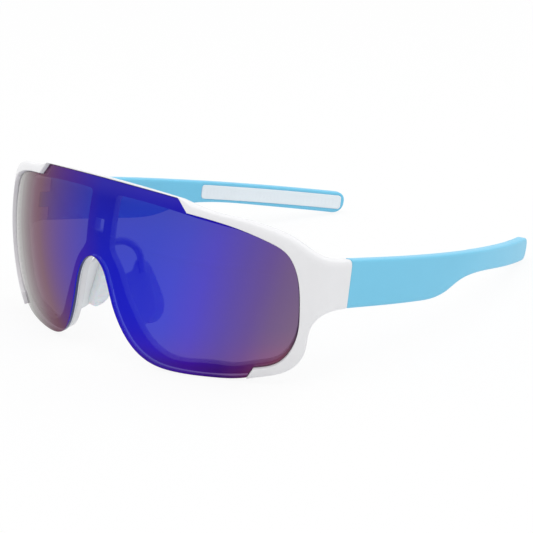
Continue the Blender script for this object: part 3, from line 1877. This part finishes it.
@dataclass
class Temple:
    """One temple: a deep blade that steps up to a slim arm, with a grip let into its inner face.

    Attributes:
        grip_start: from the joint to the front of the grip.
        grip_border: from the temple's upper edge to the grip.
        top_points: three places of the upper edge, (behind the joint, height).
    """

    side: Side
    length: float = 126.6
    edge_round: float = 0.8
    joint_round: float = 0.2
    tip_round: float = 3.0
    heel_round: float = 4.2
    grip_start: float = 67.2
    grip_end: float = 1.4
    grip_border: float = 1.2
    grip_height: float = 5.1
    grip_depth: float = 1.2
    grip_proud: float = 0.25
    grip_fit: float = 0.03
    grip_corner: float = 1.2
    grip_round: float = 0.2
    pocket_round: float = 0.15
    rib_height: float = 0.045
    rib_pitch: float = 1.5
    hole_radius: float = 0.65
    top_points: tuple[tuple[float, float], ...] = ((0.0, 4.1), (62.0, 2.6), (128.0, 0.4))

    @property
    def body(self) -> str:
        """The moving body that this temple belongs to."""
        return f"temple_{self.side.suffix}_arm"

    def top(self, drop_by: float = 0.0) -> Array:
        """Upper edge in the side view, moved down."""
        points = np.array(self.top_points) - np.array([0, drop_by])
        return arc3(*points, count=260)

    def underside(self) -> Array:
        """Lower edge in the side view: straight, a soft step up, then a long tail.

        Returns:
            The edge from the joint on, (n, 2).
        """
        step = (37.0, -11.1)
        tail = [(50.6, -9.5), (58.0, -6.9), (70.0, -5.2), (90.0, -5.7), (128.0, -7.5)]
        rise = spline([step, *tail], (1, -0.005), (1, -0.05))
        return chain(straight((0.0, SHAPE.joint_bottom), step), rise)

    @staticmethod
    def cut_ends(line: Array, start: float, end: float) -> Array:
        """The part of a line between two distances along the temple, with its ends made exact.

        Args:
            line: places of the side view.
            start: first distance.
            end: last distance.

        Returns:
            That part as (distance along the temple, height).
        """
        line = PATH.from_back(line)
        keep = line[(line[:, 0] > start + 1e-6) & (line[:, 0] < end - 1e-6)]
        ends = [(s, float(np.interp(s, line[:, 0], line[:, 1]))) for s in (start, end)]
        return np.vstack([ends[:1], keep, ends[1:]])

    @staticmethod
    def between(bottom: Array, top: Array, step: float) -> Array:
        """Closed loop between a lower and an upper line that both run from front to back."""
        rear, fore = straight(bottom[-1], top[-1], step), straight(top[0], bottom[0], step)
        return chain(bottom, rear, top[::-1], fore)[:-1]

    def grip_loop(self, spare: float) -> Array:
        """Outline of the grip.

        Args:
            spare: how much it is grown all round.

        Returns:
            The loop in (distance along the temple, height).
        """
        start, end = self.grip_start - spare, self.length - self.grip_end + spare
        top = self.cut_ends(self.top(self.grip_border - spare), start, end)
        bottom = self.cut_ends(self.top(self.grip_border + self.grip_height + spare), start, end)
        loop = self.between(bottom, top, 0.3)
        for corner in (bottom[0], bottom[-1], top[-1], top[0]):
            loop = rounded(loop, corner, self.grip_corner + spare)
        return anticlockwise(loop)

    def blade(self) -> Shell:
        """Blade with its grip pocket: the side outline filled between its inner and outer face.

        Returns:
            Vertices and triangles.
        """
        top = self.cut_ends(self.top(), 0.0, self.length)
        bottom = self.cut_ends(self.underside(), 0.0, self.length)
        loop = self.between(bottom, top, 0.5)
        loop = rounded(loop, bottom[-1], self.heel_round)
        loop = rounded(loop, top[-1], self.tip_round)
        loop = anticlockwise(loop)
        start = int(np.argmin(np.linalg.norm(loop - bottom[0], axis=1)))
        loop = np.roll(loop, -start, axis=0)
        end = int(np.argmin(np.linalg.norm(loop - top[0], axis=1)))
        edges = [(loop[: end + 1], self.edge_round), (closed(loop)[end:], self.joint_round)]
        pocket = self.grip_loop(self.grip_fit)
        floor = level(self.grip_depth + self.grip_fit)
        return Moulding(
            outline=loop,
            front=Face(level(PATH.thickness), edges),
            back=Face(level(0.0), edges, recess=pocket, floor=floor, lip=self.pocket_round),
            place=PATH.place,
            rings=[(loop, self.edge_round), (pocket, self.pocket_round)],
            spacing=1.8,
        ).build()

    def grip(self) -> Shell:
        """Grip strip: its outline filled from the pocket's floor to just proud of the face.

        Formula of the grip's face: the proud height, less rib_height (1 + cos) of a wave along the
        strip, eased in from 1 to 1.6 mm off the rim, for a row of shallow cross ribs.

        Returns:
            Vertices and triangles.
        """
        loop = self.grip_loop(0.0)
        rim = closed(loop)

        def face(p: Array) -> Array:
            """The ribbed face's height at each place p, (n, 2)."""
            ease = np.clip((to_line(p, rim) - 1.0) / 0.6, 0, 1)
            return -self.grip_proud + self.rib_height * ease * ribs(p[:, 0], self.rib_pitch)

        return Moulding(
            outline=loop,
            front=Face(level(self.grip_depth), [(rim, self.pocket_round)]),
            back=Face(face, [(rim, self.grip_round)]),
            place=PATH.place,
            rings=[(loop, self.grip_round)],
            spacing=0.5,
        ).build()

    def knuckle(self, dresser: Dresser) -> Piece:
        """Hinge tongue: a bar with a round end about the screw.

        Args:
            dresser: places the bar.

        Returns:
            The bar, which the blade takes in.
        """
        x, r = SHAPE.pivot[0], SHAPE.knuckle_radius
        root = SHAPE.joint_y + SHAPE.joint_gap + 1
        plan = np.vstack([arc(SHAPE.pivot, r, -np.pi, 0, 25), [[x + r, root], [x - r, root]]])
        return dresser.mesh("tongue", prism(plan, *SHAPE.knuckle_heights), self.side)

    def build(self, dresser: Dresser) -> list[Piece]:
        """Makes the temple with its tongue, and its grip.

        Args:
            dresser: places and dresses the pieces.

        Returns:
            The temple and the grip.
        """
        tag = self.side.suffix
        blade = dresser.mesh(f"temple_{tag}_piece", self.blade(), self.side)
        carve(blade, [self.knuckle(dresser)], union=True)
        hole = prism(circle(SHAPE.pivot, self.hole_radius, 24), -12.0, 4.0)
        carve(blade, [dresser.mesh("tool", hole, self.side)])
        grip = dresser.mesh(f"temple_grip_{tag}_piece", self.grip(), self.side)
        return [
            dresser.dress(blade, BLUE, self.body, [f"temple_{tag}"]),
            dresser.dress(grip, GRIP, self.body, [f"temple_grip_{tag}"]),
        ]


@dataclass
class Nosepiece:
    """Clip behind the bridge bar, with two wire-like arms that carry the pad plates and pads.

    Attributes:
        centre: middle of the left pad.
        backward: direction along the left pad, towards the face.
        outward: direction square to it, away from the nose.
        pad_round: radius of the pad's edge on the nose's side; edge_round is that of all others.
        arm_foot: two places on the plate, from the arm's end to where it leaves the plate.
    """

    clip_half_width: float = 3.2
    clip_heights: tuple[float, float] = (-5.6, 0.3)
    clip_thickness: float = 1.6
    clip_air: float = 0.03
    hook_half_width: float = 1.97
    hook_heights: tuple[float, float] = (-1.07, 0.28)
    centre: tuple[float, float, float] = (10.6, -86.8, -16.1)
    backward: tuple[float, float, float] = (0.149, 0.981, 0.12)
    outward: tuple[float, float, float] = (0.945, -0.177, 0.276)
    pad_thickness: float = 2.4
    pad_round: float = 1.1
    ridge_height: float = 0.17
    ridge_pitch: float = 1.9
    plate_thickness: float = 1.1
    plate_air: float = 0.3
    edge_round: float = 0.25
    arm_radius: float = 1.2
    arm_air: float = 0.1
    arm_start: tuple[float, float, float] = (2.3, -96.1, -3.2)
    arm_foot: tuple[tuple[float, float], ...] = ((-1.5, 5.0), (-1.5, 9.5))

    def plane(self) -> tuple[Array, Array, Array, Array]:
        """The left pad's plane.

        Returns:
            Its origin, and its axes towards the face, along the nose and away from the nose.
        """
        z = np.array(self.outward) / np.linalg.norm(self.outward)
        x = np.array(self.backward)
        x = x - z * (x @ z)
        x = x / np.linalg.norm(x)
        return np.array(self.centre), x, np.cross(z, x), z

    def place(self, flat: Array, height: Array) -> Array:
        """Points of the wearing frame for places in the pad's plane."""
        origin, x, y, z = self.plane()
        return origin + flat[:, :1] * x + flat[:, 1:] * y + height[:, None] * z

    @staticmethod
    def ring(points: Sequence[tuple[float, float]]) -> Array:
        """Smooth closed curve through points.

        Args:
            points: places in the pad's plane. They are run through three times, so that the middle
                round closes evenly.

        Returns:
            The loop, anticlockwise.
        """
        run = spline([*points, *points, *points, points[0]], step=0.4)
        marks = np.where(np.linalg.norm(run - np.array(points[0]), axis=1) < 1e-9)[0]
        return anticlockwise(run[marks[1] : marks[2]])

    def pad(self) -> Shell:
        """Soft pad: its leaf outline, with shallow ridges across the face that meets the nose.

        Formula of that face: the thickness, less ridge_height (1 + cos) of a wave along the pad,
        eased out towards the rim.

        Returns:
            Vertices and triangles.
        """
        loop = self.ring([
            (-3.6, -6.0), (-2.6, -10.2), (2.0, -10.6), (5.3, -7.0), (5.0, -1.0), (3.4, 4.5),
            (0.8, 8.6), (-1.8, 8.0), (-3.2, 3.0),
        ])
        rim = closed(loop)

        def under(p: Array) -> Array:
            """The ridged face's height.

            Args:
                p: places in the pad's plane, (n, 2).

            Returns:
                The height at each.
            """
            ease = np.clip((to_line(p, rim) - 0.7) / 0.8, 0, 1)
            ease = ease * ease * (3 - 2 * ease)
            return -self.pad_thickness + self.ridge_height * ease * ribs(p[:, 1], self.ridge_pitch)

        return Moulding(
            outline=loop,
            front=Face(level(0.0), [(rim, self.edge_round)]),
            back=Face(under, [(rim, self.pad_round)]),
            place=self.place,
            rings=[(loop, self.pad_round)],
            spacing=0.4,
        ).build()

    def plate(self) -> Shell:
        """Plate that the pad is moulded to.

        It reaches forward to just short of the back of the rim: what lies beyond is drawn in, first
        within its own plane and then along the rays from the ball's centre.

        Returns:
            Vertices and triangles.
        """
        loop = self.ring([
            (-10.0, -10.4), (-1.0, -10.0), (1.8, -6.0), (1.2, 2.0), (0.2, 8.4), (-2.4, 9.2),
            (-4.8, 6.3), (-10.4, 5.4), (-11.5, -3.0),
        ])
        limit = SHAPE.rim_back - self.plate_air
        origin, x, y, z = self.plane()
        middle = -np.array([origin @ x, origin @ y])
        away = loop - middle
        within = np.sqrt(limit**2 - (origin @ z) ** 2) / np.linalg.norm(away, axis=1)
        loop = middle + away * np.minimum(1, within)[:, None]
        edges = [(closed(loop), self.edge_round)]
        vertices, faces = Moulding(
            outline=loop,
            front=Face(level(self.plate_thickness), edges),
            back=Face(level(0.0), edges),
            place=self.place,
            rings=[(loop, self.edge_round)],
            spacing=1.0,
        ).build()
        reach = np.linalg.norm(vertices, axis=1)
        return vertices * np.minimum(1, limit / reach)[:, None], faces

    def arm(self) -> Shell:
        """Arm from the plate to the clip.

        Formula: a straight foot on the plate, then the one arc that leaves it smoothly and ends at
        arm_start, all in the plane of foot and start.

        Returns:
            Vertices and triangles.
        """
        up = self.arm_radius + self.arm_air
        foot = self.place(np.array(self.arm_foot), np.array([up, up]))
        ahead = (foot[1] - foot[0]) / np.linalg.norm(foot[1] - foot[0])
        chord = np.array(self.arm_start) - foot[1]
        across = chord - ahead * (chord @ ahead)
        side = across / np.linalg.norm(across)
        radius = (chord @ chord) / (2 * (chord @ side))
        turn = 2 * np.arctan2(chord @ side, chord @ ahead)
        angle = np.linspace(0, turn, 48)[1:, None]
        bend = foot[1] + radius * (np.sin(angle) * ahead + (1 - np.cos(angle)) * side)
        line = foot[0] + (foot[1] - foot[0]) * np.linspace(0, 1, 10)[:, None]
        path = np.vstack([line, bend])
        return tube(path, np.full(len(path), self.arm_radius), 28)

    def clip(self, half_width: float, heights: tuple[float, float], front: float, back: float) -> Shell:
        """Curved block behind the bridge bar.

        Args:
            half_width: half its width.
            heights: its lower and upper edge.
            front: distance of its front from the ball's centre.
            back: distance of its back.

        Returns:
            Vertices and triangles.
        """
        loop = upright_box(half_width, *heights, front)
        edges = [(closed(loop), self.edge_round)]
        return Moulding(
            outline=loop,
            front=Face(level(front), edges),
            back=Face(level(back), edges),
            place=SHAPE.place,
            rings=[(loop, self.edge_round)],
            spacing=0.9,
        ).build()

    def build(self, dresser: Dresser) -> list[Piece]:
        """Makes the clip with its arms and plates, and the two pads.

        Args:
            dresser: places and dresses the pieces.

        Returns:
            The saddle and the two pads.
        """
        front = SHAPE.rim_back - self.clip_air
        block = self.clip(self.clip_half_width, self.clip_heights, front, front - self.clip_thickness)
        hook = self.clip(self.hook_half_width, self.hook_heights, SHAPE.seat - self.clip_air, front - 1.0)
        saddle = dresser.mesh("nose_saddle_piece", block)
        parts = [dresser.mesh("hook", hook)]
        for side in Side:
            parts += [dresser.mesh("arm", self.arm(), side), dresser.mesh("plate", self.plate(), side)]
        carve(saddle, parts, union=True)
        pieces = [dresser.dress(saddle, NYLON, "root", ["nose_saddle"])]
        for side in Side:
            pad = dresser.mesh(f"nose_pad_{side.suffix}_piece", self.pad(), side)
            pieces.append(dresser.dress(pad, PAD, "root", [f"nose_pad_{side.suffix}"]))
        return pieces


@dataclass
class Hardware:
    """Hinge screws and threaded inserts, shown as the model's own solids.

    Attributes:
        kinds: name in the model, finish and slot of each kind.
    """

    kinds: tuple[tuple[str, Finish, str], ...] = (
        ("screw", STEEL, "hinge_steel"),
        ("insert", BRASS, "hinge_brass"),
    )

    def build(self, nodes: dict[str, Piece]) -> list[Piece]:
        """Gives the screws and inserts their metals.

        Args:
            nodes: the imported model's objects by name.

        Returns:
            The four objects.
        """
        shown = []
        for side in Side:
            for kind, finish, slot in self.kinds:
                piece = nodes[f"hinge_{kind}_{side.suffix}"]
                piece.data.materials.clear()
                piece.data.materials.append(finish.material())
                shown.append(piece)
        return shown


# ---- studio
@dataclass
class Studio:
    """Pale floor, soft lamps, plain world and the camera.

    Attributes:
        look_from: the camera's turn to the wearer's left and upwards, in degrees.
        floor_white: share of white in the floor where it is seen directly.
        lamps: name, place in metres, width in metres and power in watts of each.
    """

    camera_place: tuple[float, float, float] = (480.34, -543.43, 112.74)
    look_from: tuple[float, float] = (42.655, 10.201)
    roll: float = 6.783
    sensor: float = 36.0
    lens: float = 144.76
    floor_size: float = 6.0
    floor_height: float = -0.0002
    floor_white: float = 0.9
    soft_light: float = 0.8
    lamps: tuple[tuple[str, tuple[float, float, float], float, float], ...] = (
        ("key", (0.1, -0.1, 0.9), 0.8, 2.8),
        ("back", (0.3, 0.6, 0.65), 0.6, 1.0),
        ("side", (-0.75, -0.3, 0.5), 0.5, 0.8),
    )

    def camera(self, stance: Stance) -> None:
        """Camera at the product view: its place and turns are given in the wearing frame.

        Args:
            stance: how the glasses lie on the table.
        """
        theta, phi, roll = np.radians([*self.look_from, self.roll])
        back = np.array([np.sin(theta) * np.cos(phi), -np.cos(theta) * np.cos(phi), np.sin(phi)])
        right = np.array([np.cos(theta), np.sin(theta), 0.0])
        up = np.cross(back, right)
        right, up = (
            np.cos(roll) * right + np.sin(roll) * up,
            np.cos(roll) * up - np.sin(roll) * right,
        )
        place = np.array([self.camera_place])
        moved = stance.metres(np.vstack([place, place + right, place + up, place + back]))
        data = bpy.data.cameras.new("camera")
        data.sensor_width, data.lens = self.sensor, self.lens
        data.clip_start, data.clip_end = 0.05, 20.0
        camera = bpy.data.objects.new("camera", data)
        matrix = np.eye(4)
        matrix[:3, :3] = ((moved[1:] - moved[0]) / MM).T
        matrix[:3, 3] = moved[0]
        camera.matrix_world = Matrix(matrix.tolist())
        bpy.context.scene.collection.objects.link(camera)
        bpy.context.scene.camera = camera

    @staticmethod
    def seen_directly(tree: Tree) -> Output:
        """1 for rays from the camera, from a mirror or through glass, and otherwise 0.

        Args:
            tree: the tree that gets the nodes.

        Returns:
            The value.
        """
        rays = tree.nodes.new("ShaderNodeLightPath").outputs
        seen = worked_out(tree, "MAXIMUM", rays["Is Camera Ray"], rays["Is Glossy Ray"])
        return worked_out(tree, "MAXIMUM", seen, rays["Is Transmission Ray"])

    @staticmethod
    def shared(
        tree: Tree, share: Output, first: bpy.types.Node, second: bpy.types.Node, end: str
    ) -> None:
        """Mixes two shaders into the tree's result.

        Args:
            tree: the tree that they belong to.
            share: how much the second counts.
            first: the shader where the share is 0.
            second: the other shader.
            end: name of the tree's last node.
        """
        mix = tree.nodes.new("ShaderNodeMixShader")
        fill(tree, mix, {"Fac": share})
        for k, node in enumerate((first, second)):
            tree.links.new(node.outputs[0], mix.inputs[k + 1])
        tree.links.new(mix.outputs[0], tree.nodes[end].inputs["Surface"])

    def floor(self) -> None:
        """Wide pale floor, just below the object, that keeps a faint shadow."""
        corners = np.array([[-1, -1, 0], [1, -1, 0], [1, 1, 0], [-1, 1, 0]]) * self.floor_size
        corners[:, 2] = self.floor_height
        floor = new_piece("floor", corners, np.array([[0, 1, 2, 3]]))
        tree, shader = blank_material("pale_floor")
        grey = (0.86, 0.86, 0.86, 1)
        fill(tree, shader, {"Base Color": grey, "Roughness": 0.9, "Specular IOR Level": 0.0})
        light = tree.nodes.new("ShaderNodeEmission")
        share = worked_out(tree, "MULTIPLY", self.seen_directly(tree), self.floor_white)
        self.shared(tree, share, shader, light, "Material Output")
        floor.data.materials.append(bpy.data.materials["pale_floor"])

    def world(self) -> None:
        """White where it is seen or mirrored, and a plain soft light otherwise."""
        world = bpy.data.worlds.new("studio")
        bpy.context.scene.world = world
        world.use_nodes = True
        tree = world.node_tree
        white = tree.nodes["Background"]
        soft = tree.nodes.new("ShaderNodeBackground")
        for light, strength in ((white, 1.0), (soft, self.soft_light)):
            fill(tree, light, {"Color": (1, 1, 1, 1), "Strength": strength})
        self.shared(tree, self.seen_directly(tree), soft, white, "World Output")

    @staticmethod
    def lamp(name: str, place: Sequence[float], size: float, power: float) -> None:
        """Square soft lamp that points at the object.

        Args:
            name: the lamp's name.
            place: where it hangs, in metres.
            size: its width, in metres.
            power: in watts.
        """
        data = bpy.data.lights.new(name, "AREA")
        data.shape = "SQUARE"
        data.size = size
        data.energy = power
        lamp = bpy.data.objects.new(name, data)
        lamp.location = place
        lamp.rotation_euler = (-Vector(place)).to_track_quat("-Z", "Y").to_euler()
        bpy.context.scene.collection.objects.link(lamp)

    def build(self, stance: Stance) -> None:
        """Sets up the whole studio.

        Args:
            stance: how the glasses lie on the table.
        """
        bpy.context.scene.view_settings.view_transform = "Standard"
        self.world()
        self.floor()
        for lamp in self.lamps:
            self.lamp(*lamp)
        self.camera(stance)


def main() -> None:
    """Builds every piece in order and reports each."""
    logging.basicConfig(level=logging.INFO, format="%(message)s", force=True)
    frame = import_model()
    hinge = next(j for j in frame["joints"] if j["name"] == "temple_left_fold")
    stance = Stance.from_joint(hinge, (*SHAPE.pivot, sum(SHAPE.knuckle_heights) / 2))
    dresser = Dresser(stance)
    log.info("stance: tilt %.4f degrees, shift %s", np.degrees(stance.tilt), stance.shift.round(4))
    for part in (ShieldLens(), FrontFrame(), Nosepiece(), Temple(Side.LEFT), Temple(Side.RIGHT)):
        pieces = part.build(dresser)
        for piece in pieces if isinstance(pieces, list) else [pieces]:
            log.info("built %s: %d faces", piece.name, len(piece.data.polygons))
    for piece in Hardware().build(frame["nodes"]):
        log.info("finished %s", piece.name)
    Studio().build(stance)


if __name__ == "__main__":
    main()
